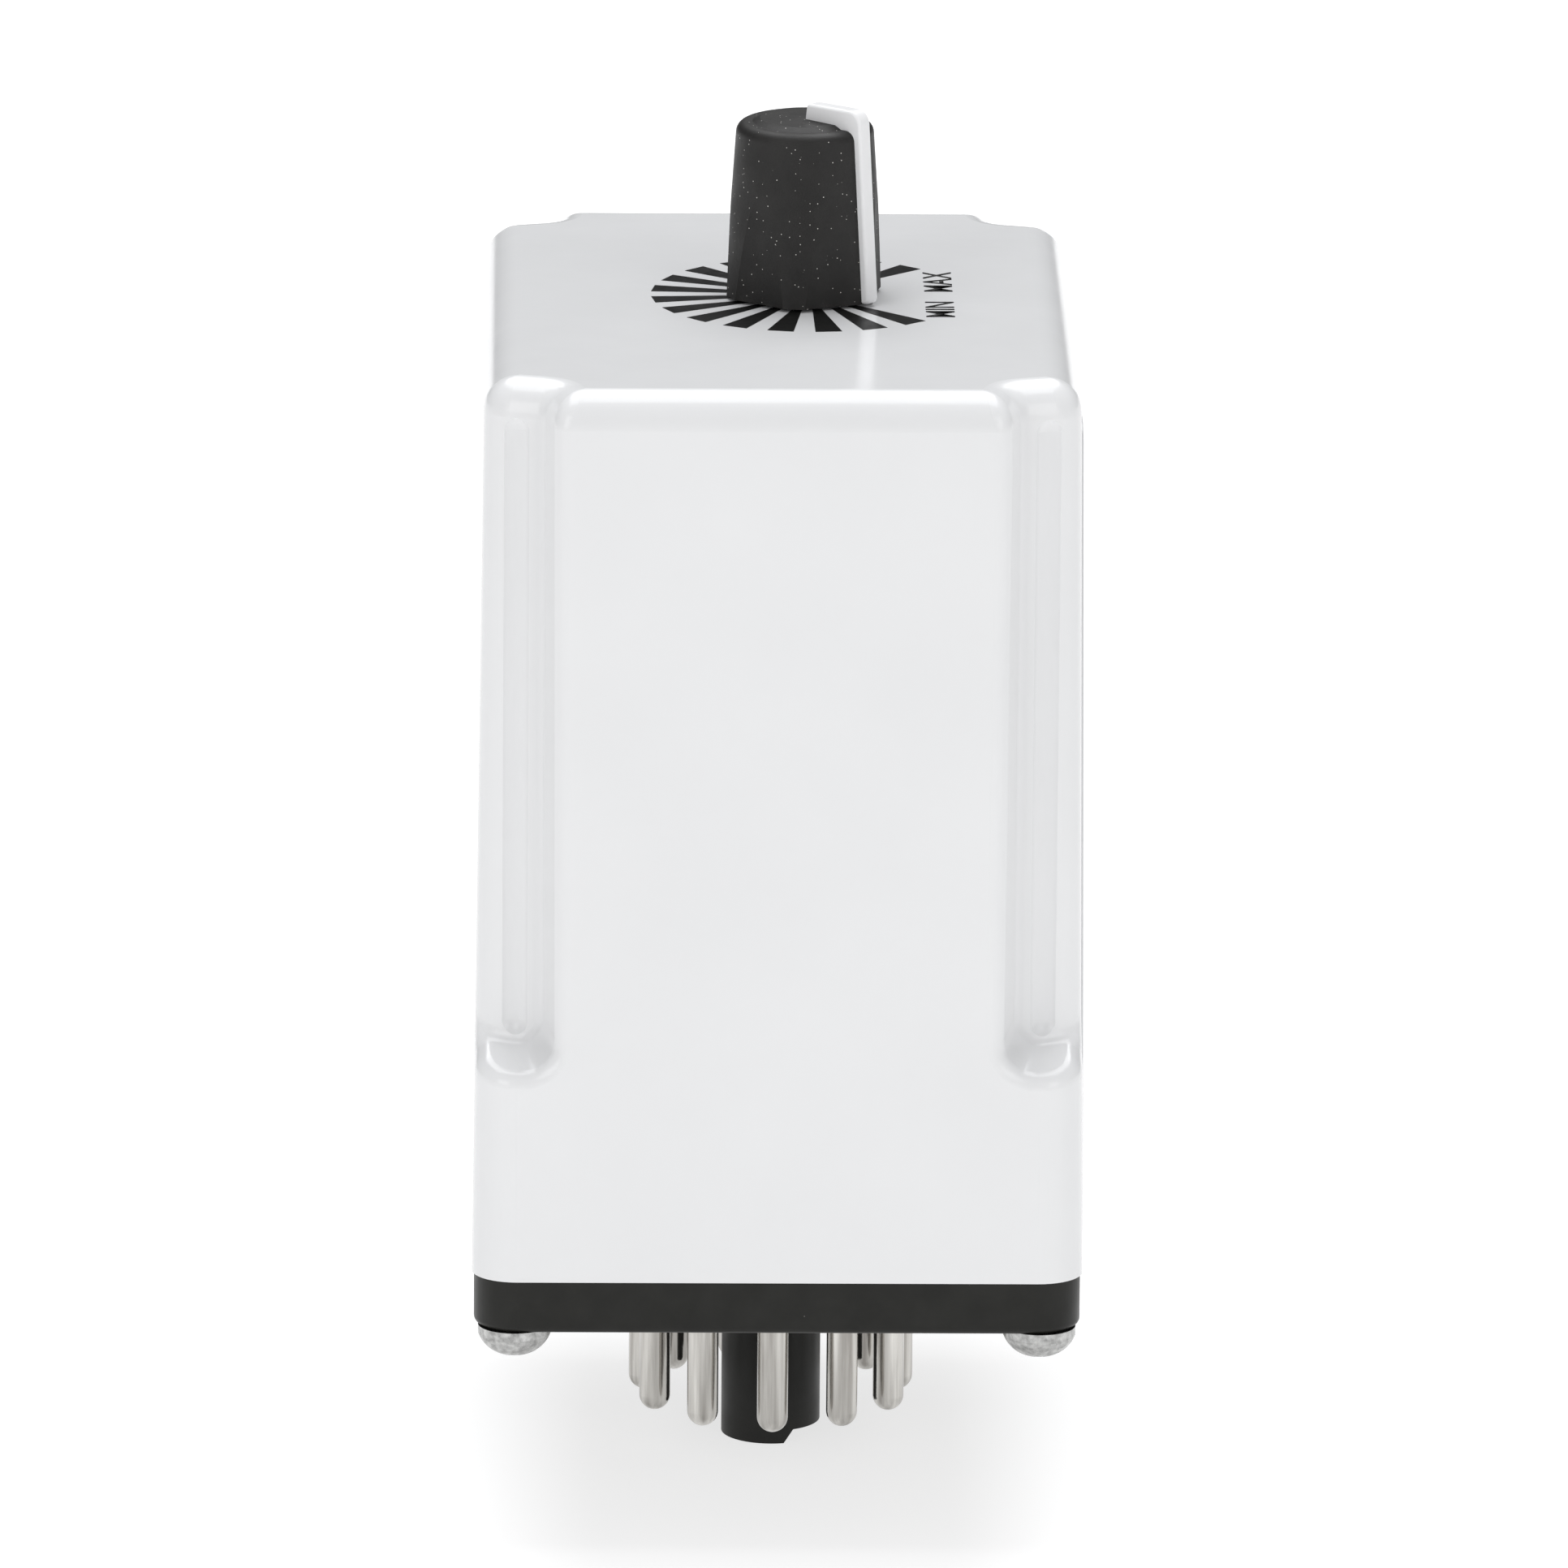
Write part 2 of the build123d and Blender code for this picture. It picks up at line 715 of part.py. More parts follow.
relay_common_blades.part.label = "relay_common_blades"
export_step(relay_common_blades.part, "parts/relay_common_blades.step")

# Flexible leads from the common blades up to the moving blades
with BuildPart() as relay_pigtails:
    for side in (-1, 1):
        with BuildLine() as lead_path:
            FilletPolyline(
                (common_x, relay_y + side * common_offset, common_top),
                (common_x, relay_y + side * common_offset, 30.0),
                (8.2, relay_y + side * (pole_offset + 0.6), 35.5),
                (8.2, relay_y + side * (pole_offset + 0.6), blade_z),
                radius=2.5,
            )
        with BuildSketch(Plane.XY.offset(common_top)):
            with Locations((common_x, relay_y + side * common_offset)):
                Circle(0.4)
        sweep(path=lead_path.wires()[0])

relay_pigtails.part.label = "relay_pigtails"
export_step(relay_pigtails.part, "parts/relay_pigtails.step")

coil_lead_x = 4.2
coil_lead_y = 3.5
with BuildPart() as relay_coil_leads:
    with BuildSketch(Plane.XY.offset(strip_bottom)):
        for side in (-1, 1):
            with Locations((coil_lead_x, relay_y + side * coil_lead_y)):
                Circle(0.35)
    extrude(amount=bobbin_bottom + 2 - strip_bottom)

relay_coil_leads.part.label = "relay_coil_leads"
export_step(relay_coil_leads.part, "parts/relay_coil_leads.step")

with BuildPart() as relay_base:
    with BuildSketch(Plane.XY.offset(relay_bottom)):
        with Locations((0, relay_y)):
            Rectangle(relay_length, relay_width)
    extrude(amount=relay_flange_top - relay_bottom)
    with BuildSketch(Plane.XY.offset(relay_flange_top)):
        with Locations((0, relay_y)):
            Rectangle(relay_length - 2 * relay_wall, relay_width - 2 * relay_wall)
    extrude(amount=relay_floor - relay_flange_top)
    with BuildSketch(Plane.XY.offset(base_board_top)):
        with Locations((0, relay_y)):
            with GridLocations(relay_length - 4, relay_width - 3, 2, 2):
                Circle(1.2)
    extrude(amount=relay_bottom - base_board_top)
    add(relay_no_contacts.part, mode=Mode.SUBTRACT)
    add(relay_nc_contacts.part, mode=Mode.SUBTRACT)
    add(relay_common_blades.part, mode=Mode.SUBTRACT)
    add(relay_coil_leads.part, mode=Mode.SUBTRACT)

relay_base.part.label = "relay_base"
export_step(relay_base.part, "parts/relay_base.step")

with BuildPart() as relay_cover:
    with BuildSketch(Plane.XY.offset(relay_flange_top)):
        with Locations((0, relay_y)):
            Rectangle(relay_length, relay_width)
    extrude(amount=relay_top - relay_flange_top)
    fillet(relay_cover.edges().filter_by(Axis.Z), 1.0)
    fillet(relay_cover.faces().sort_by(Axis.Z)[-1].edges(), 0.8)
    with BuildSketch(Plane.XY.offset(relay_flange_top)):
        with Locations((0, relay_y)):
            Rectangle(relay_length - 2 * relay_wall, relay_width - 2 * relay_wall)
    extrude(amount=relay_top - relay_wall - relay_flange_top, mode=Mode.SUBTRACT)

relay_cover.part.label = "relay_cover"
export_step(relay_cover.part, "parts/relay_cover.step")

yoke_back = relay_y + yoke_half_width
yoke_front = relay_y - yoke_half_width
yoke_foot_top = relay_floor + yoke_thickness
with BuildPart() as relay_yoke:
    box_between((yoke_leg_x, yoke_front, relay_floor), (3.0, yoke_back, yoke_foot_top))
    box_between((yoke_leg_x, yoke_front, relay_floor), (yoke_leg_x + yoke_thickness, yoke_back, yoke_leg_top))
    box_between(
        (spring_x - 0.9, relay_y - 1.2, spring_lug_z),
        (yoke_leg_x, relay_y + 1.2, spring_lug_z + 0.8),
    )

relay_yoke.part.label = "relay_yoke"
export_step(relay_yoke.part, "parts/relay_yoke.step")

with BuildPart() as relay_core:
    with BuildSketch(Plane.XY.offset(yoke_foot_top)):
        with Locations((coil_x, relay_y)):
            Circle(core_r)
    extrude(amount=pole_top - yoke_foot_top)
    with BuildSketch(Plane.XY.offset(pole_top)):
        with Locations((coil_x, relay_y)):
            Circle(pole_r)
    extrude(amount=-(pole_top - bobbin_top - 0.1))

relay_core.part.label = "relay_core"
export_step(relay_core.part, "parts/relay_core.step")

with BuildPart() as relay_bobbin:
    with BuildSketch(Plane.XY.offset(bobbin_bottom)):
        with Locations((coil_x, relay_y)):
            Circle(bobbin_r)
        with Locations(((coil_x + coil_lead_x + 1) / 2, relay_y)):
            Rectangle(coil_lead_x + 1 - coil_x, 2 * coil_lead_y + 2)
    extrude(amount=bobbin_flange)
    with BuildSketch(Plane.XY.offset(bobbin_bottom)):
        with Locations((coil_x, relay_y)):
            Circle(bobbin_tube_r)
    extrude(amount=bobbin_top - bobbin_bottom)
    with BuildSketch(Plane.XY.offset(bobbin_top)):
        with Locations((coil_x, relay_y)):
            Circle(bobbin_r)
    extrude(amount=-bobbin_flange)
    with BuildSketch(Plane.XY.offset(bobbin_bottom)):
        with Locations((coil_x, relay_y)):
            Circle(core_r + shaft_fit)
    extrude(amount=bobbin_top - bobbin_bottom, mode=Mode.SUBTRACT)
    add(relay_coil_leads.part, mode=Mode.SUBTRACT)

relay_bobbin.part.label = "relay_bobbin"
export_step(relay_bobbin.part, "parts/relay_bobbin.step")

with BuildPart() as relay_winding:
    with BuildSketch(Plane.XY.offset(bobbin_bottom + bobbin_flange)):
        with Locations((coil_x, relay_y)):
            Circle(winding_r)
            Circle(bobbin_tube_r, mode=Mode.SUBTRACT)
    extrude(amount=bobbin_top - bobbin_bottom - 2 * bobbin_flange)

relay_winding.part.label = "relay_winding"
export_step(relay_winding.part, "parts/relay_winding.step")

with BuildPart() as relay_armature:
    box_between(
        (yoke_leg_x - 0.5, yoke_front, armature_bottom),
        (armature_end_x, yoke_back, armature_bottom + armature_thickness),
    )
    box_between(
        (spring_x - 0.9, relay_y - 1.5, armature_bottom),
        (yoke_leg_x, relay_y + 1.5, armature_bottom + armature_thickness),
    )

relay_armature.part.label = "relay_armature"
export_step(relay_armature.part, "parts/relay_armature.step")

with BuildPart() as relay_moving_blades:
    for pole_y in pole_places:
        box_between((1.8, pole_y - 1.5, blade_z), (12.0, pole_y + 1.5, blade_z + blade_thickness))
        with BuildSketch(Plane.XY.offset(blade_z - contact_height)):
            with Locations((contact_x, pole_y)):
                Circle(contact_r)
        extrude(amount=2 * contact_height + blade_thickness)

relay_moving_blades.part.label = "relay_moving_blades"
export_step(relay_moving_blades.part, "parts/relay_moving_blades.step")

armature_top = armature_bottom + armature_thickness
with BuildPart() as relay_carrier:
    box_between((2.5, relay_y - 8.2, armature_top), (6.5, relay_y + 8.2, armature_top + 2.2))
    add(relay_moving_blades.part, mode=Mode.SUBTRACT)

relay_carrier.part.label = "relay_carrier"
export_step(relay_carrier.part, "parts/relay_carrier.step")

spring_bottom = spring_lug_z + 0.8
spring_r = 0.85
spring_wire_r = 0.16
spring_turns = 10
with BuildPart() as relay_return_spring:
    spring_height = armature_bottom - spring_bottom - 2 * spring_wire_r - 0.1
    with BuildLine() as coil_path:
        Helix(
            pitch=spring_height / spring_turns,
            height=spring_height,
            radius=spring_r,
            center=(spring_x, relay_y, spring_bottom + spring_wire_r + 0.05),
        )
    start = coil_path.edges()[0]
    with BuildSketch(Plane(origin=start @ 0, z_dir=start % 0)):
        Circle(spring_wire_r)
    sweep(path=coil_path.wires()[0], is_frenet=True)

relay_return_spring.part.label = "relay_return_spring"
export_step(relay_return_spring.part, "parts/relay_return_spring.step")


# Small components. Each is drawn standing on Z = 0 with its leads going down through a board.
def leaded(component, lead_places, lead_r, foot):
    """Adds straight leads below a component; foot is where they start."""
    with BuildPart() as leads:
        add(component)
        with BuildSketch(Plane.XY.offset(foot)):
            with Locations(*lead_places):
                Circle(lead_r)
        extrude(amount=-(foot + board_thickness + lead_below))
    return leads.part


def axial(body_r, body_length, wire_r, span, stand):
    """Axial component lying along X at a height above the board, with both leads bent down."""
    bottom = -board_thickness - lead_below
    with BuildPart() as component:
        with BuildSketch(Plane.YZ.offset(-body_length / 2)):
            with Locations((0, stand)):
                Circle(body_r)
        extrude(amount=body_length)
        fillet(component.edges().filter_by(GeomType.CIRCLE), 0.35 * body_r)
        with BuildLine() as wire:
            FilletPolyline(
                (-span / 2, 0, bottom),
                (-span / 2, 0, stand),
                (span / 2, 0, stand),
                (span / 2, 0, bottom),
                radius=2 * wire_r,
            )
        with BuildSketch(Plane.XY.offset(bottom)):
            with Locations((-span / 2, 0)):
                Circle(wire_r)
        sweep(path=wire.wires()[0])
    return component.part


def on_timing_board(x, z, turn=0):
    """Place on the front of the upright board, with the component's own Z pointing forwards."""
    return Location((x, timing_face, z), (90, 0, turn))


with BuildPart() as small_resistors:
    resistor = axial(0.9, 3.6, 0.25, 7.6, 1.1)
    for place_x, place_z in ((10.5, 39), (10.5, 42), (10.5, 45), (10.5, 48), (-11, 30), (-11, 33)):
        with Locations(on_timing_board(place_x, place_z)):
            add(resistor)

small_resistors.part.label = "small_resistors"
export_step(small_resistors.part, "parts/small_resistors.step")

with BuildPart() as diodes:
    diode = axial(1.35, 5.0, 0.4, 10.2, 1.5)
    for place_x in (-5.5, -1.5, 2.5, 6.5):
        with Locations(on_timing_board(place_x, 20, 90)):
            add(diode)

diodes.part.label = "diodes"
export_step(diodes.part, "parts/diodes.step")

with BuildPart() as dropping_resistor:
    power_resistor = axial(2.6, 14.0, 0.4, 20.0, 4.0)
    with Locations(on_timing_board(13, 26, 90)):
        add(power_resistor)

dropping_resistor.part.label = "dropping_resistor"
export_step(dropping_resistor.part, "parts/dropping_resistor.step")

with BuildPart() as film_box:
    Box(12.5, 5.0, 9.0, align=(Align.CENTER, Align.CENTER, Align.MIN))
    fillet(film_box.edges().filter_by(Axis.Z), 0.6)
with BuildPart() as timing_capacitor:
    film_part = leaded(film_box.part, [(-5, 0), (5, 0)], 0.3, 0)
    with Locations(on_timing_board(-10.2, 53)):
        add(film_part)

timing_capacitor.part.label = "timing_capacitor"
export_step(timing_capacitor.part, "parts/timing_capacitor.step")

with BuildPart() as disc_body:
    with BuildSketch(Plane.XZ.offset(-1.8)):
        with Locations((0, 5.6)):
            Circle(4.8)
    extrude(amount=3.6)
    fillet(disc_body.edges().filter_by(GeomType.CIRCLE), 1.2)
with BuildPart() as varistor:
    disc_part = leaded(disc_body.part, [(-2.5, -0.6), (2.5, 0.6)], 0.35, 1.8)
    with Locations(on_timing_board(12.2, 56)):
        add(disc_part)

varistor.part.label = "varistor"
export_step(varistor.part, "parts/varistor.step")

with BuildPart() as transistor_body:
    with BuildSketch(Plane.XY.offset(2.0)):
        Circle(2.3)
        with Locations((0, 1.3)):
            Rectangle(6, 3, align=(Align.CENTER, Align.MIN), mode=Mode.SUBTRACT)
    extrude(amount=4.6)
with BuildPart() as driver_transistor:
    transistor = leaded(transistor_body.part, [(-1.27, 0), (0, 0), (1.27, 0)], 0.25, 2.0)
    with Locations(on_timing_board(-3.5, 31.5)):
        add(transistor)

driver_transistor.part.label = "driver_transistor"
export_step(driver_transistor.part, "parts/driver_transistor.step")

# Timing chip in a dual in-line package, with seven legs a side
chip_pitch = 2.54
chip_legs_a_side = 7
chip_length = chip_pitch * chip_legs_a_side + 1
with BuildPart() as chip_body:
    with Locations((0, 0, 0.5)):
        Box(chip_length, 6.4, 3.3, align=(Align.CENTER, Align.CENTER, Align.MIN))
    chamfer(chip_body.edges().filter_by(Axis.X), 0.4)
on_its_foot = (Align.CENTER, Align.CENTER, Align.MIN)
leg_bottom = -board_thickness - lead_below
leg_shoulder = 2.0
leg_thickness = 0.25
with BuildPart() as chip_legs:
    for side in (-1, 1):
        with GridLocations(chip_pitch, 0, chip_legs_a_side, 1):
            with Locations((0, side * 3.81, leg_bottom)):
                Box(0.5, leg_thickness, leg_shoulder + leg_thickness - leg_bottom, align=on_its_foot)
            with Locations((0, side * 3.5, leg_shoulder)):
                Box(1.3, 0.6, leg_thickness, align=on_its_foot)
chip_place = on_timing_board(-5, 40)
with BuildPart() as timing_chip:
    with Locations(chip_place):
        add(chip_body.part)

with BuildPart() as timing_chip_legs:
    with Locations(chip_place):
        add(chip_legs.part)

timing_chip.part.label = "timing_chip"
export_step(timing_chip.part, "parts/timing_chip.step")
timing_chip_legs.part.label = "timing_chip_legs"
export_step(timing_chip_legs.part, "parts/timing_chip_legs.step")

# Electrolytic can standing on the lower board
with BuildPart() as can_body:
    Cylinder(4.0, 16.0, align=(Align.CENTER, Align.CENTER, Align.MIN))
    fillet(can_body.edges().filter_by(GeomType.CIRCLE), 0.5)
with BuildPart() as supply_capacitor:
    can_part = leaded(can_body.part, [(-1.75, 0), (1.75, 0)], 0.3, 0.2)
    with Locations(Location((-12.5, -18.2, base_board_top))):
        add(can_part)

supply_capacitor.part.label = "supply_capacitor"
export_step(supply_capacitor.part, "parts/supply_capacitor.step")

# Right-angle header that joins the upright board to the lower one
header_y = timing_rear + 0.85
header_z = base_board_top + 1.25
with BuildPart() as header_pins:
    with BuildLine() as bent_pin:
        FilletPolyline(
            (0, timing_face - lead_below, header_z),
            (0, header_y, header_z),
            (0, header_y, base_board_bottom - lead_below),
            radius=0.5,
        )
    with BuildSketch(Plane.XZ.offset(-(timing_face - lead_below))):
        with Locations((0, header_z)):
            Circle(0.3)
    sweep(path=bent_pin.wires()[0])
with BuildPart() as header_pin_row:
    with GridLocations(header_pitch, 0, header_count, 1):
        add(header_pins.part)

header_pin_row.part.label = "header_pins"
export_step(header_pin_row.part, "parts/header_pins.step")

header_half = header_count * header_pitch / 2
with BuildPart() as board_header:
    box_between(
        (-header_half, timing_rear, base_board_top),
        (header_half, timing_rear + 1.7, base_board_top + 2.5),
    )
    add(header_pin_row.part, mode=Mode.SUBTRACT)

board_header.part.label = "board_header"
export_step(board_header.part, "parts/board_header.step")

with BuildPart() as timing_board:
    box_between((-timing_width / 2, timing_face, base_board_top), (timing_width / 2, timing_rear, timing_top))
    for leads_of in (small_resistors, diodes, dropping_resistor, timing_capacitor, varistor):
        add(leads_of.part, mode=Mode.SUBTRACT)
    for leads_of in (driver_transistor, timing_chip_legs, header_pin_row, pot_terminals):
        add(leads_of.part, mode=Mode.SUBTRACT)

timing_board.part.label = "timing_board"
export_step(timing_board.part, "parts/timing_board.step")

with BuildPart() as base_board:
    with BuildSketch(Plane.XY.offset(base_board_bottom)):
        Rectangle(base_board_width, base_board_depth)
    extrude(amount=board_thickness)
    for pin in plug_pins:
        add(pin, mode=Mode.SUBTRACT)
    for leads_of in (relay_no_contacts, relay_nc_contacts, relay_common_blades, relay_coil_leads):
        add(leads_of.part, mode=Mode.SUBTRACT)
    for leads_of in (header_pin_row, supply_capacitor):
        add(leads_of.part, mode=Mode.SUBTRACT)

base_board.part.label = "base_board"
export_step(base_board.part, "parts/base_board.step")
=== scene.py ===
import math

import bpy
from mathutils import Matrix, Vector


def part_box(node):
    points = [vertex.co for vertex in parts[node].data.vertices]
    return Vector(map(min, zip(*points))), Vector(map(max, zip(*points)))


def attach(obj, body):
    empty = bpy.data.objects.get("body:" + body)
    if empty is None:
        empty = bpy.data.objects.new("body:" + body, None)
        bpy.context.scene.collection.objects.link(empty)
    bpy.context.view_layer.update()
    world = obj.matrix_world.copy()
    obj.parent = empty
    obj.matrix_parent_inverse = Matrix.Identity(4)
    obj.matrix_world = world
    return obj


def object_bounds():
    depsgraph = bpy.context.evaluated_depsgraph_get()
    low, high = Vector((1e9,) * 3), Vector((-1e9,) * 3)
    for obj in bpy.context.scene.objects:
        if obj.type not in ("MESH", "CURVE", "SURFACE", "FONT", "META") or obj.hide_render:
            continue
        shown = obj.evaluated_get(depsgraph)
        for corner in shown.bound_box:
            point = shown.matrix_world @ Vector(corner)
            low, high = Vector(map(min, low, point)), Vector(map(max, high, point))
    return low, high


mm = 0.001

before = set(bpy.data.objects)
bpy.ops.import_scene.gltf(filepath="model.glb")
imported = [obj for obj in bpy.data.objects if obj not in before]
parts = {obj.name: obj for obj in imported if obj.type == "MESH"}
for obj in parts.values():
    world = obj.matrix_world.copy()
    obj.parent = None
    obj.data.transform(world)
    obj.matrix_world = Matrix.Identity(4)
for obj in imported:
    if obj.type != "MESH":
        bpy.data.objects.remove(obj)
cadLow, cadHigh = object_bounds()
print("frame loaded:", len(parts), "parts")


# small helpers for building finishes out of nodes

def addNode(finish, kind, inputs=None, **settings):
    node = finish.node_tree.nodes.new(kind)
    for key, value in settings.items():
        setattr(node, key, value)
    for key, value in (inputs or {}).items():
        if isinstance(value, bpy.types.NodeSocket):
            finish.node_tree.links.new(value, node.inputs[key])
        else:
            node.inputs[key].default_value = value
    return node


def newFinish(name, **values):
    finish = bpy.data.materials.new(name)
    finish.use_nodes = True
    shader = finish.node_tree.nodes["Principled BSDF"]
    for key, value in values.items():
        shader.inputs[key.replace("_", " ")].default_value = value
    return finish, shader


def feed(finish, shader, **sockets):
    for key, value in sockets.items():
        finish.node_tree.links.new(value, shader.inputs[key.replace("_", " ")])


def place(finish, stretch=(1, 1, 1)):
    where = addNode(finish, "ShaderNodeTexCoord")
    return addNode(finish, "ShaderNodeMapping",
                   {"Vector": where.outputs["Object"], "Scale": stretch}).outputs["Vector"]


# even mottling, from 0 to 1, with blotches about as wide as size
def grain(finish, size, detail=3.0, stretch=(1, 1, 1)):
    return addNode(finish, "ShaderNodeTexNoise",
                   {"Vector": place(finish, stretch), "Scale": 1 / size,
                    "Detail": detail}).outputs["Fac"]


# scattered dots: 1 inside a dot, 0 outside; share is how many cells have one
def specks(finish, cell, dot, share):
    cells = addNode(finish, "ShaderNodeTexVoronoi",
                    {"Vector": place(finish), "Scale": 1 / cell})
    near = addNode(finish, "ShaderNodeMapRange",
                   {"Value": cells.outputs["Distance"], "From Min": 0.5 * dot / cell,
                    "From Max": 0.3 * dot / cell, "To Min": 0.0, "To Max": 1.0})
    pick = addNode(finish, "ShaderNodeSeparateColor", {"Color": cells.outputs["Color"]})
    chosen = addNode(finish, "ShaderNodeMath", {0: pick.outputs["Red"], 1: share},
                     operation="LESS_THAN")
    return addNode(finish, "ShaderNodeMath",
                   {0: near.outputs["Result"], 1: chosen.outputs[0]},
                   operation="MULTIPLY").outputs[0]


def between(finish, share, low, high):
    return addNode(finish, "ShaderNodeMapRange",
                   {"Value": share, "From Min": 0.25, "From Max": 0.75,
                    "To Min": low, "To Max": high}).outputs["Result"]


def tint(finish, share, dark, light):
    ramp = addNode(finish, "ShaderNodeValToRGB", {"Fac": share})
    ramp.color_ramp.elements[0].position = 0.3
    ramp.color_ramp.elements[0].color = (*dark, 1)
    ramp.color_ramp.elements[1].position = 0.7
    ramp.color_ramp.elements[1].color = (*light, 1)
    return ramp.outputs["Color"]


def over(finish, share, below, colour):
    mix = addNode(finish, "ShaderNodeMix", {0: share, 6: below, 7: (*colour, 1)},
                  data_type="RGBA")
    return mix.outputs[2]


def relief(finish, height, depth, below=None):
    inputs = {"Height": height, "Distance": depth, "Strength": 1.0}
    if below is not None:
        inputs["Normal"] = below
    return addNode(finish, "ShaderNodeBump", inputs).outputs["Normal"]


def dress(finish, *names):
    for name in names:
        parts[name].material_slots[0].material = finish


# white moulded case: glossy, with a faint orange peel and a few dust marks
casePlastic = {"dark": (0.785, 0.788, 0.793), "light": (0.803, 0.806, 0.811),
               "dust": (0.42, 0.41, 0.40), "gloss": (0.13, 0.19)}
# how coarse the white mouldings' mottling, dust and surface are
mouldedSkin = {"mottle": 14 * mm, "glossPatch": 5 * mm, "dustCell": 6 * mm,
               "dustDot": 0.16 * mm, "dustShare": 0.10, "peel": 1.6 * mm,
               "peelDepth": 0.004 * mm, "fine": 0.2 * mm, "fineDepth": 0.0006 * mm}


def moulded(name, look):
    skin = mouldedSkin
    finish, shader = newFinish(name, IOR=1.5)
    colour = tint(finish, grain(finish, skin["mottle"]), look["dark"], look["light"])
    dust = specks(finish, skin["dustCell"], skin["dustDot"], skin["dustShare"])
    colour = over(finish, dust, colour, look["dust"])
    peel = relief(finish, grain(finish, skin["peel"], 2.0), skin["peelDepth"])
    feed(finish, shader, Base_Color=colour,
         Roughness=between(finish, grain(finish, skin["glossPatch"]), *look["gloss"]),
         Normal=relief(finish, grain(finish, skin["fine"], 2.0), skin["fineDepth"], peel))
    return finish


dress(moulded("case_white", casePlastic), "case_shell")

# printed film on the side
labelFilm = {"dark": (0.70, 0.705, 0.71), "light": (0.74, 0.745, 0.75),
             "dust": (0.45, 0.44, 0.43), "gloss": (0.28, 0.36)}
dress(moulded("label_white", labelFilm), "side_label")

# the pointer moulded into the knob
pointerPlastic = {"dark": (0.85, 0.85, 0.855), "light": (0.88, 0.88, 0.885),
                  "dust": (0.50, 0.49, 0.47), "gloss": (0.30, 0.38)}
dress(moulded("pointer_plastic", pointerPlastic), "knob_pointer")
print("white plastics done")

# black moulded base, satin, with pale dust
basePhenolic = {"dark": (0.0085, 0.0085, 0.007), "light": (0.0135, 0.0135, 0.0115),
                "dust": (0.20, 0.195, 0.185), "gloss": (0.36, 0.48), "shine": 0.25,
                "dustCell": 1.6 * mm, "dustDot": 0.09 * mm, "dustShare": 0.25,
                "pit": 0.004 * mm}
# how coarse the black mouldings' mottling and surface are
satinSkin = {"mottle": 2.2 * mm, "glossPatch": 3 * mm, "coarse": 0.5 * mm,
             "fine": 0.12 * mm, "fineShare": 0.4}


def satinBlack(name, look):
    skin = satinSkin
    finish, shader = newFinish(name, IOR=1.5, Specular_IOR_Level=look["shine"])
    colour = tint(finish, grain(finish, skin["mottle"], 4.0), look["dark"], look["light"])
    dust = specks(finish, look["dustCell"], look["dustDot"], look["dustShare"])
    colour = over(finish, dust, colour, look["dust"])
    coarse = relief(finish, grain(finish, skin["coarse"], 3.0), look["pit"])
    finePit = skin["fineShare"] * look["pit"]
    feed(finish, shader, Base_Color=colour,
         Roughness=between(finish, grain(finish, skin["glossPatch"]), *look["gloss"]),
         Normal=relief(finish, grain(finish, skin["fine"], 2.0), finePit, coarse))
    return finish


dress(satinBlack("base_black", basePhenolic), "base_plate")

# soft-touch knob: matt charcoal with fine pale specks
knobRubber = {"dark": (0.0095, 0.0088, 0.0082), "light": (0.0165, 0.0155, 0.0145),
              "dust": (0.72, 0.70, 0.66), "gloss": (0.48, 0.62), "shine": 0.36,
              "dustCell": 0.34 * mm, "dustDot": 0.09 * mm, "dustShare": 0.45,
              "pit": 0.014 * mm}
dress(satinBlack("knob_charcoal", knobRubber), "knob_body")
print("black plastics done")


# drawn and plated metal: streaks run along the stretched axis; on the pins the stretched light
# and dark colour bands are partly drawn streaks and partly painted reflection
def metal(name, look):
    finish, shader = newFinish(name, Metallic=1.0)
    streak = grain(finish, look["size"], 4.0, look["stretch"])
    coarse = relief(finish, grain(finish, 6 * look["size"], 2.0, look["stretch"]), look["dent"])
    # colour patches: random tone on the screws, painted reflection bands along the pins
    feed(finish, shader,
         Base_Color=tint(finish, grain(finish, look["blotchAndReflectionBand"], 4.0, look["stretch"]),
                         look["dark"], look["light"]),
         Roughness=between(finish, streak, *look["gloss"]),
         Normal=relief(finish, streak, look["scratch"], coarse))
    return finish


# pins: the light and dark colours, stretched along the pin, paint vertical reflection bands as
# well as drawn streaks
pinTin = {"dark": (0.30, 0.285, 0.265), "light": (0.72, 0.705, 0.67), "gloss": (0.09, 0.20),
          "blotchAndReflectionBand": 0.75 * mm, "size": 0.10 * mm, "stretch": (1, 1, 0.05), "dent": 0.0006 * mm,
          "scratch": 0.0006 * mm}
pinNames = sorted(name for name in parts if name.startswith("plug_pin"))
dress(metal("pin_tin", pinTin), *pinNames)

screwZinc = {"dark": (0.26, 0.26, 0.255), "light": (0.56, 0.56, 0.55), "gloss": (0.20, 0.40),
             "blotchAndReflectionBand": 0.5 * mm, "size": 0.22 * mm, "stretch": (1, 1, 1), "dent": 0.02 * mm,
             "scratch": 0.006 * mm}
dress(metal("screw_zinc", screwZinc), "base_screws")
print("outside metals done")

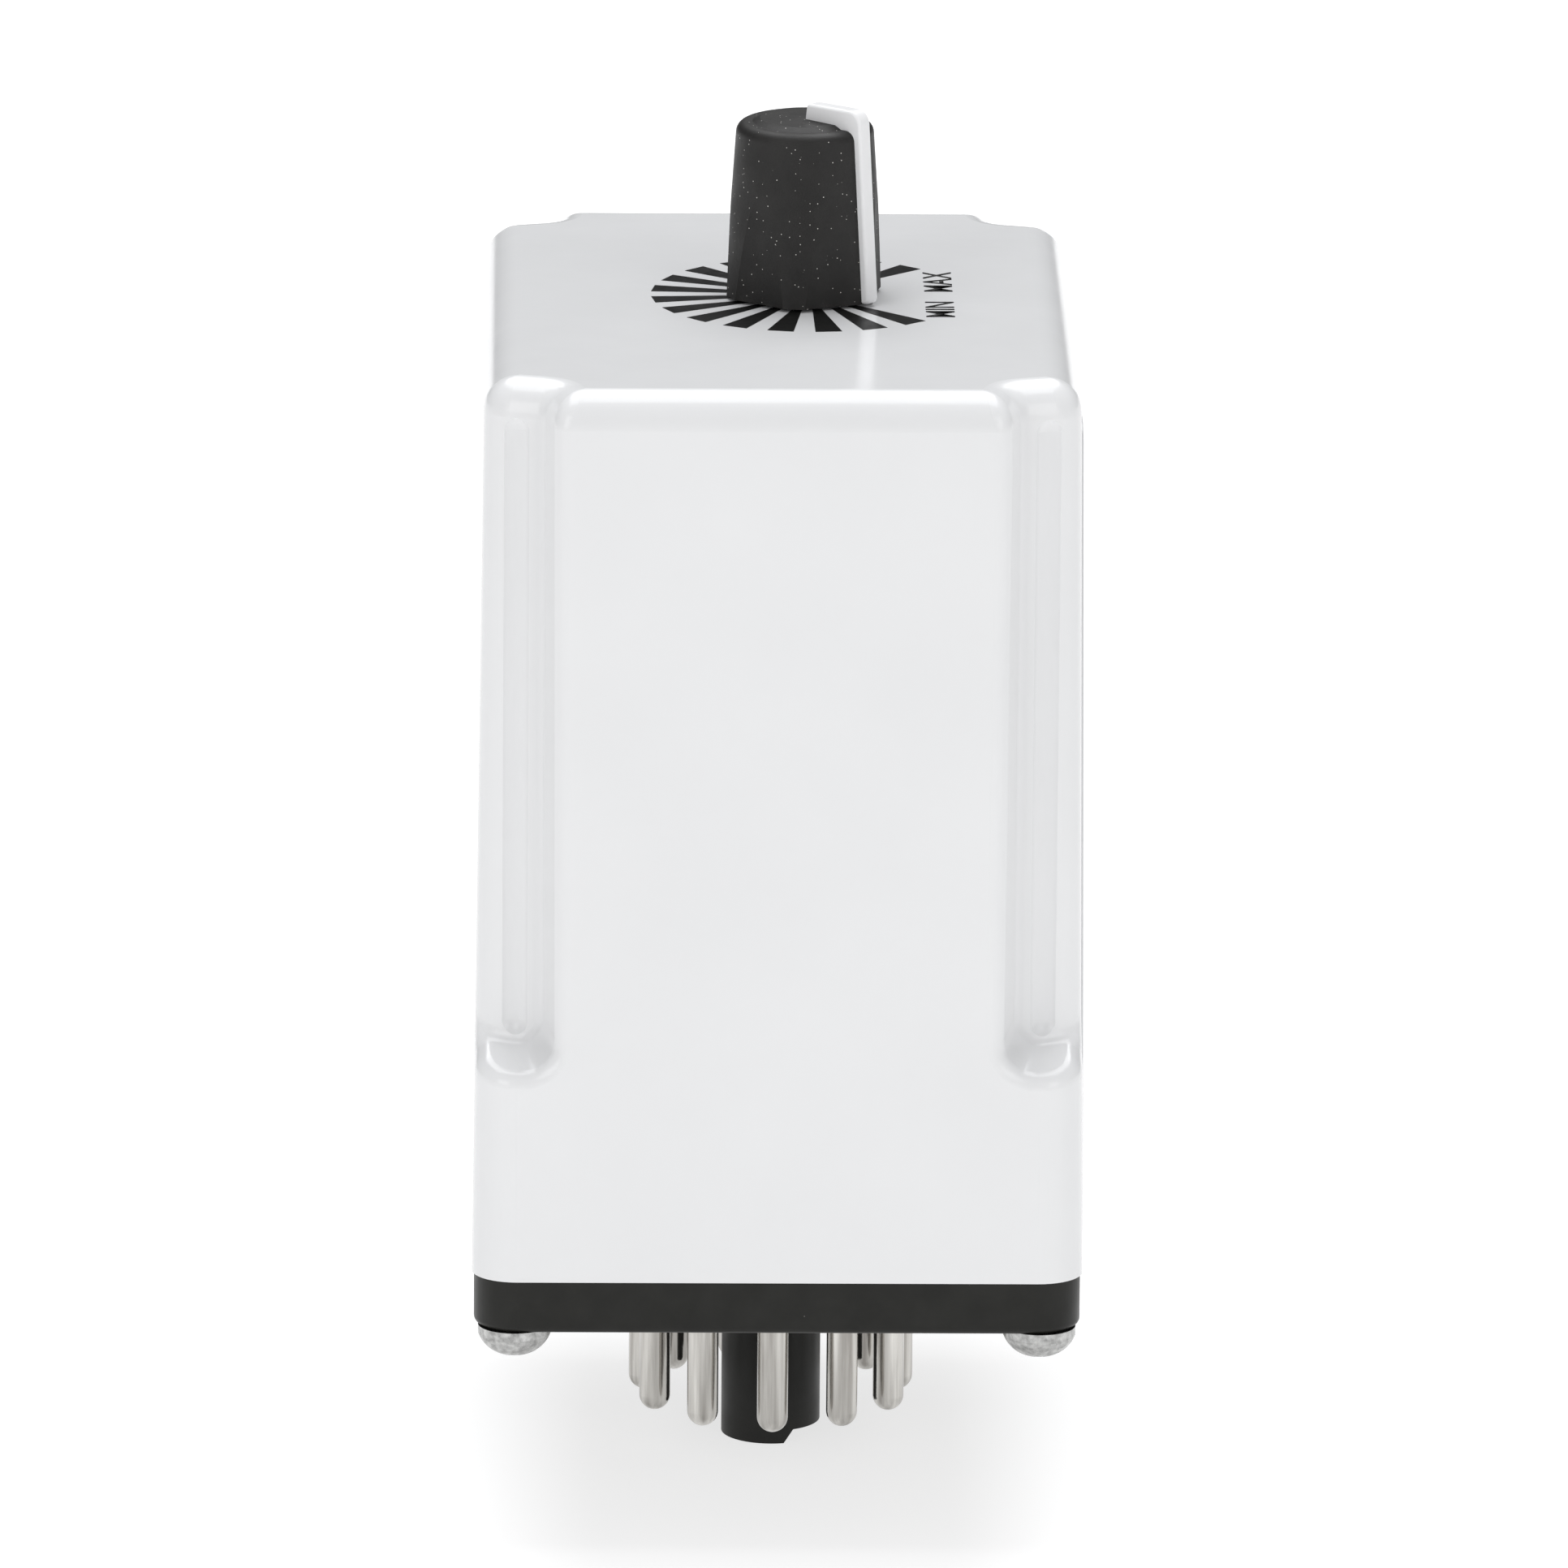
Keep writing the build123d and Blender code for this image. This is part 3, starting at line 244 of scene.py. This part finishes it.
# what sits inside the case: size and pit depth in millimetres
insideLooks = {
    "shaft_steel": {"dark": (0.50, 0.49, 0.47), "light": (0.66, 0.65, 0.62),
                    "metal": 1.0, "gloss": (0.22, 0.36), "size": 0.3, "pit": 0.002,
                    "parts": ["pot_shaft"]},
    "pot_zinc": {"dark": (0.52, 0.52, 0.50), "light": (0.70, 0.70, 0.67),
                 "metal": 1.0, "gloss": (0.28, 0.42), "size": 0.8, "pit": 0.004,
                 "parts": ["pot_faceplate", "pot_housing"]},
    "pot_brown": {"dark": (0.10, 0.052, 0.024), "light": (0.17, 0.088, 0.042),
                  "metal": 0.0, "gloss": (0.40, 0.55), "size": 0.6, "pit": 0.006,
                  "parts": ["pot_rotor"]},
    "carbon_track": {"dark": (0.018, 0.018, 0.019), "light": (0.042, 0.042, 0.044),
                     "metal": 0.0, "gloss": (0.48, 0.66), "size": 0.15, "pit": 0.004,
                     "parts": ["pot_element"]},
    "board_green": {"dark": (0.022, 0.115, 0.042), "light": (0.040, 0.175, 0.066),
                    "metal": 0.0, "gloss": (0.24, 0.36), "size": 0.7, "pit": 0.006,
                    "parts": ["base_board", "timing_board"]},
    "chip_black": {"dark": (0.022, 0.022, 0.023), "light": (0.040, 0.040, 0.042),
                   "metal": 0.0, "gloss": (0.42, 0.58), "size": 0.2, "pit": 0.005,
                   "parts": ["timing_chip", "driver_transistor", "diodes"]},
    "contact_silver": {"dark": (0.64, 0.63, 0.60), "light": (0.84, 0.83, 0.80),
                       "metal": 1.0, "gloss": (0.16, 0.30), "size": 0.3, "pit": 0.002,
                       "parts": ["pot_wiper", "pot_terminals", "header_pins",
                                 "timing_chip_legs", "relay_nc_contacts",
                                 "relay_no_contacts"]},
    "blade_bronze": {"dark": (0.52, 0.33, 0.17), "light": (0.70, 0.47, 0.26),
                     "metal": 1.0, "gloss": (0.22, 0.36), "size": 0.4, "pit": 0.003,
                     "parts": ["relay_moving_blades", "relay_common_blades"]},
    "relay_iron": {"dark": (0.46, 0.46, 0.45), "light": (0.64, 0.64, 0.62),
                   "metal": 1.0, "gloss": (0.28, 0.44), "size": 0.9, "pit": 0.006,
                   "parts": ["relay_yoke", "relay_core", "relay_armature"]},
    "spring_wire": {"dark": (0.44, 0.44, 0.43), "light": (0.62, 0.62, 0.60),
                    "metal": 1.0, "gloss": (0.18, 0.30), "size": 0.2, "pit": 0.002,
                    "parts": ["relay_return_spring"]},
    "bobbin_cream": {"dark": (0.52, 0.47, 0.34), "light": (0.62, 0.57, 0.43),
                     "metal": 0.0, "gloss": (0.34, 0.46), "size": 1.2, "pit": 0.005,
                     "parts": ["relay_bobbin", "relay_carrier"]},
    "frame_black": {"dark": (0.020, 0.020, 0.021), "light": (0.034, 0.034, 0.036),
                    "metal": 0.0, "gloss": (0.34, 0.50), "size": 1.0, "pit": 0.006,
                    "parts": ["relay_base", "board_header"]},
    "copper_wire": {"dark": (0.56, 0.21, 0.085), "light": (0.76, 0.33, 0.15),
                    "metal": 1.0, "gloss": (0.20, 0.34), "size": 0.35, "pit": 0.010,
                    "parts": ["relay_winding", "relay_coil_leads", "relay_pigtails"]},
    "resistor_tan": {"dark": (0.46, 0.33, 0.19), "light": (0.60, 0.45, 0.28),
                     "metal": 0.0, "gloss": (0.34, 0.48), "size": 0.5, "pit": 0.006,
                     "parts": ["small_resistors", "dropping_resistor"]},
    "film_yellow": {"dark": (0.62, 0.40, 0.035), "light": (0.74, 0.51, 0.07),
                    "metal": 0.0, "gloss": (0.28, 0.40), "size": 1.2, "pit": 0.006,
                    "parts": ["timing_capacitor"]},
    "disc_blue": {"dark": (0.020, 0.085, 0.30), "light": (0.035, 0.125, 0.42),
                  "metal": 0.0, "gloss": (0.22, 0.34), "size": 0.8, "pit": 0.010,
                  "parts": ["varistor"]},
    "can_sleeve": {"dark": (0.020, 0.024, 0.052), "light": (0.034, 0.040, 0.080),
                   "metal": 0.0, "gloss": (0.24, 0.36), "size": 1.4, "pit": 0.004,
                   "parts": ["supply_capacitor"]},
}


def insideFinish(name, look):
    finish, shader = newFinish(name, Metallic=look["metal"])
    size = look["size"] * mm
    feed(finish, shader,
         Base_Color=tint(finish, grain(finish, size, 4.0), look["dark"], look["light"]),
         Roughness=between(finish, grain(finish, 2 * size), *look["gloss"]),
         Normal=relief(finish, grain(finish, 0.5 * size), look["pit"] * mm))
    return finish


for name, look in insideLooks.items():
    dress(insideFinish(name, look), *look["parts"])

clearCover = {"dark": (0.80, 0.84, 0.86), "light": (0.90, 0.93, 0.94), "gloss": (0.05, 0.12),
              "mottle": 6 * mm, "glossPatch": 3 * mm, "wave": 1.5 * mm,
              "waveDepth": 0.004 * mm, "clear": 0.92}


def clearPlastic(name, look):
    finish, shader = newFinish(name, IOR=1.58, Transmission_Weight=look["clear"])
    feed(finish, shader,
         Base_Color=tint(finish, grain(finish, look["mottle"]), look["dark"], look["light"]),
         Roughness=between(finish, grain(finish, look["glossPatch"]), *look["gloss"]),
         Normal=relief(finish, grain(finish, look["wave"]), look["waveDepth"]))
    return finish


dress(clearPlastic("cover_clear", clearCover), "relay_cover")
print("inside finishes done")


# ink on the case: flat shapes a hair above the plastic
printInk = {"dark": (0.006, 0.006, 0.006), "light": (0.011, 0.011, 0.0105),
            "gloss": (0.30, 0.42), "shine": 0.22, "mottle": 0.35 * mm,
            "glossPatch": 0.8 * mm, "fine": 0.15 * mm, "fineDepth": 0.001 * mm,
            "height": 0.02 * mm}


def blackInk(name, look):
    finish, shader = newFinish(name, Specular_IOR_Level=look["shine"])
    feed(finish, shader,
         Base_Color=tint(finish, grain(finish, look["mottle"], 4.0), look["dark"],
                         look["light"]),
         Roughness=between(finish, grain(finish, look["glossPatch"]), *look["gloss"]),
         Normal=relief(finish, grain(finish, look["fine"]), look["fineDepth"]))
    return finish


ink = blackInk("print_black", printInk)
inkHeight = printInk["height"]

knobLow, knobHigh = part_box("knob_body")
knobCentre = Vector(((knobLow.x + knobHigh.x) / 2, (knobLow.y + knobHigh.y) / 2, 0))
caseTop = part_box("case_shell")[1].z

# sixteen bars round the dial, in degrees from the right; its centre is off the knob's axis
dial = {"shift": (0.40 * mm, 0, 0), "bars": 16, "first": -48.8, "last": 49.0,
        "outer": 11.58 * mm, "inner": 4.6 * mm, "outerWidth": 1.95 * mm,
        "innerWidth": 0.66 * mm}


def inkPiece(name, outlines, lift, body):
    points, faces = [], []
    for outline in outlines:
        start, count = len(points), len(outline)
        points += [Vector((x, y, 0)) for x, y in outline]
        points += [Vector((x, y, inkHeight)) for x, y in outline]
        faces.append([start + k for k in reversed(range(count))])
        faces.append([start + count + k for k in range(count)])
        faces += [[start + k, start + (k + 1) % count, start + count + (k + 1) % count,
                   start + count + k] for k in range(count)]
    mesh = bpy.data.meshes.new(name)
    mesh.from_pydata([p + lift for p in points], [], faces)
    mesh.materials.append(ink)
    piece = bpy.data.objects.new(name, mesh)
    bpy.context.scene.collection.objects.link(piece)
    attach(piece, body)
    return piece


def dialBars():
    sweep = 360 + dial["first"] - dial["last"]
    bars = []
    for k in range(dial["bars"]):
        angle = math.radians(dial["first"] - sweep * k / (dial["bars"] - 1))
        out = Vector((math.cos(angle), math.sin(angle)))
        side = Vector((-out.y, out.x))
        corners = [(dial["inner"], -1, "innerWidth"), (dial["outer"], -1, "outerWidth"),
                   (dial["outer"], 1, "outerWidth"), (dial["inner"], 1, "innerWidth")]
        bars.append([tuple(out * far + side * hand * dial[width] / 2)
                     for far, hand, width in corners])
    return bars


dialCentre = knobCentre + Vector(dial["shift"]) + Vector((0, 0, caseTop))
inkPiece("dial_print", dialBars(), dialCentre, "housing")
print("dial printed")

# MIN and MAX read from the right-hand side, letter tops towards the knob
words = {"MIN": {"start": -5.2 * mm, "end": -0.5 * mm},
         "MAX": {"start": 2.7 * mm, "end": 8.8 * mm}}
wordPlace = {"top": 10.7 * mm, "foot": 12.8 * mm, "weight": 0.008}


def printWord(text, reach):
    curve = bpy.data.curves.new(text, "FONT")
    curve.body = text
    curve.offset = wordPlace["weight"]
    drawn = bpy.data.objects.new("word_draft", curve)
    bpy.context.scene.collection.objects.link(drawn)
    bpy.context.view_layer.update()
    mesh = bpy.data.meshes.new_from_object(drawn)
    bpy.data.objects.remove(drawn)
    xs, ys = [v.co.x for v in mesh.vertices], [v.co.y for v in mesh.vertices]
    length, height = reach["end"] - reach["start"], wordPlace["foot"] - wordPlace["top"]
    for v in mesh.vertices:
        along = (v.co.x - min(xs)) / (max(xs) - min(xs))
        up = (v.co.y - min(ys)) / (max(ys) - min(ys))
        v.co = Vector((wordPlace["foot"] - height * up, reach["start"] + length * along,
                       caseTop + inkHeight))
    mesh.materials.clear()
    mesh.materials.append(ink)
    word = bpy.data.objects.new("word_" + text.lower(), mesh)
    bpy.context.scene.collection.objects.link(word)
    solid = word.modifiers.new("ink_body", "SOLIDIFY")
    solid.thickness = inkHeight
    solid.offset = -1
    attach(word, "housing")


for text, reach in words.items():
    printWord(text, reach)
print("words printed")

# softly lit floor just under the key post, sizes in metres
floorLook = {"size": 8.0, "gap": 0.05 * mm, "glow": 0.72, "dark": (0.42, 0.42, 0.42),
             "light": (0.44, 0.44, 0.44), "gloss": (0.70, 0.80), "mottle": 0.5,
             "glossPatch": 0.05}


def paleFloor():
    half, z = floorLook["size"] / 2, cadLow.z - floorLook["gap"]
    mesh = bpy.data.meshes.new("floor")
    mesh.from_pydata([(-half, -half, z), (half, -half, z), (half, half, z), (-half, half, z)],
                     [], [(0, 1, 2, 3)])
    finish, shader = newFinish("floor_paint", Specular_IOR_Level=0.2,
                               Emission_Color=(1, 1, 1, 1), Emission_Strength=floorLook["glow"])
    feed(finish, shader,
         Base_Color=tint(finish, grain(finish, floorLook["mottle"], 2.0), floorLook["dark"],
                         floorLook["light"]),
         Roughness=between(finish, grain(finish, floorLook["glossPatch"]),
                           *floorLook["gloss"]))
    mesh.materials.append(finish)
    floor = bpy.data.objects.new("floor", mesh)
    bpy.context.scene.collection.objects.link(floor)


paleFloor()

# lights: where each stands, what it looks at, its width and height, and its power
softLights = {
    "overhead": {"at": (0.0, 0.42, 1.47), "to": (0, 0, 0), "size": (1.6, 1.4), "power": 19,
                 "colour": (0.975, 0.985, 1.0)},
    "frontLeft": {"at": (-1.1, -1.5, 0.75), "to": (0, 0, 0.03), "size": (0.9, 1.2),
                  "power": 6.0, "colour": (1.0, 0.995, 0.99)},
    "frontRight": {"at": (1.1, -1.5, 0.75), "to": (0, 0, 0.03), "size": (0.9, 1.2),
                   "power": 5.2, "colour": (1.0, 0.995, 0.99)},
    "rear": {"at": (0.0, 1.3, 1.35), "to": (0, 0, 0.03), "size": (1.4, 0.7), "power": 6,
             "colour": (1, 1, 1)},
}
# the room is bright in front and above, and dark low down at the back: from dark to
# bright as a direction's height, or its reach backwards, goes between the two values
room = {"colour": (0.98, 0.985, 1.0), "strength": 0.46, "dark": 0.02,
        "ceiling": (0.45, 0.75), "backwards": (0.55, 0.0)}


def aimAt(thing, at, to):
    thing.location = at
    thing.rotation_euler = (Vector(to) - Vector(at)).to_track_quat("-Z", "Y").to_euler()


for name, look in softLights.items():
    lamp = bpy.data.lights.new(name, "AREA")
    lamp.shape = "RECTANGLE"
    lamp.size, lamp.size_y = look["size"]
    lamp.energy = look["power"]
    lamp.color = look["colour"]
    box = bpy.data.objects.new(name, lamp)
    bpy.context.scene.collection.objects.link(box)
    aimAt(box, look["at"], look["to"])
    box.visible_camera = False


def lightRoom():
    world = bpy.data.worlds.new("studio")
    world.use_nodes = True
    bpy.context.scene.world = world
    towards = addNode(world, "ShaderNodeTexCoord")
    axes = addNode(world, "ShaderNodeSeparateXYZ", {0: towards.outputs["Generated"]})
    up = addNode(world, "ShaderNodeMapRange",
                 {"Value": axes.outputs["Z"], "From Min": room["ceiling"][0],
                  "From Max": room["ceiling"][1]})
    near = addNode(world, "ShaderNodeMapRange",
                   {"Value": axes.outputs["Y"], "From Min": room["backwards"][0],
                    "From Max": room["backwards"][1]})
    either = addNode(world, "ShaderNodeMath", {0: up.outputs[0], 1: near.outputs[0]},
                     operation="MAXIMUM")
    glow = addNode(world, "ShaderNodeMapRange",
                   {"Value": either.outputs[0], "To Min": room["dark"],
                    "To Max": room["strength"]})
    background = world.node_tree.nodes["Background"]
    background.inputs["Color"].default_value = (*room["colour"], 1)
    world.node_tree.links.new(glow.outputs[0], background.inputs["Strength"])


lightRoom()
bpy.context.scene.view_settings.view_transform = "Standard"
print("floor and lights done")

# camera: turn, tilt and roll in degrees, then back from the point it looks at
cameraLook = {"lens": 394.9, "sensor": 36.0, "distance": 1.26778, "turn": -0.8929,
              "tilt": 15.193, "roll": 0.4407, "aim": (0, 0, 40 * mm),
              "right": 0.604 * mm, "up": -6.571 * mm}


def placeCamera():
    data = bpy.data.cameras.new("camera")
    data.lens, data.sensor_width = cameraLook["lens"], cameraLook["sensor"]
    data.clip_start, data.clip_end = 0.05, 50
    camera = bpy.data.objects.new("camera", data)
    bpy.context.scene.collection.objects.link(camera)
    turn = (Matrix.Rotation(math.radians(cameraLook["turn"]), 4, "Z")
            @ Matrix.Rotation(math.radians(90 - cameraLook["tilt"]), 4, "X")
            @ Matrix.Rotation(math.radians(cameraLook["roll"]), 4, "Z"))
    shift = Vector((cameraLook["right"], cameraLook["up"], cameraLook["distance"]))
    camera.matrix_world = Matrix.Translation(cameraLook["aim"]) @ turn @ Matrix.Translation(shift)
    bpy.context.scene.camera = camera


placeCamera()

print("all placed")
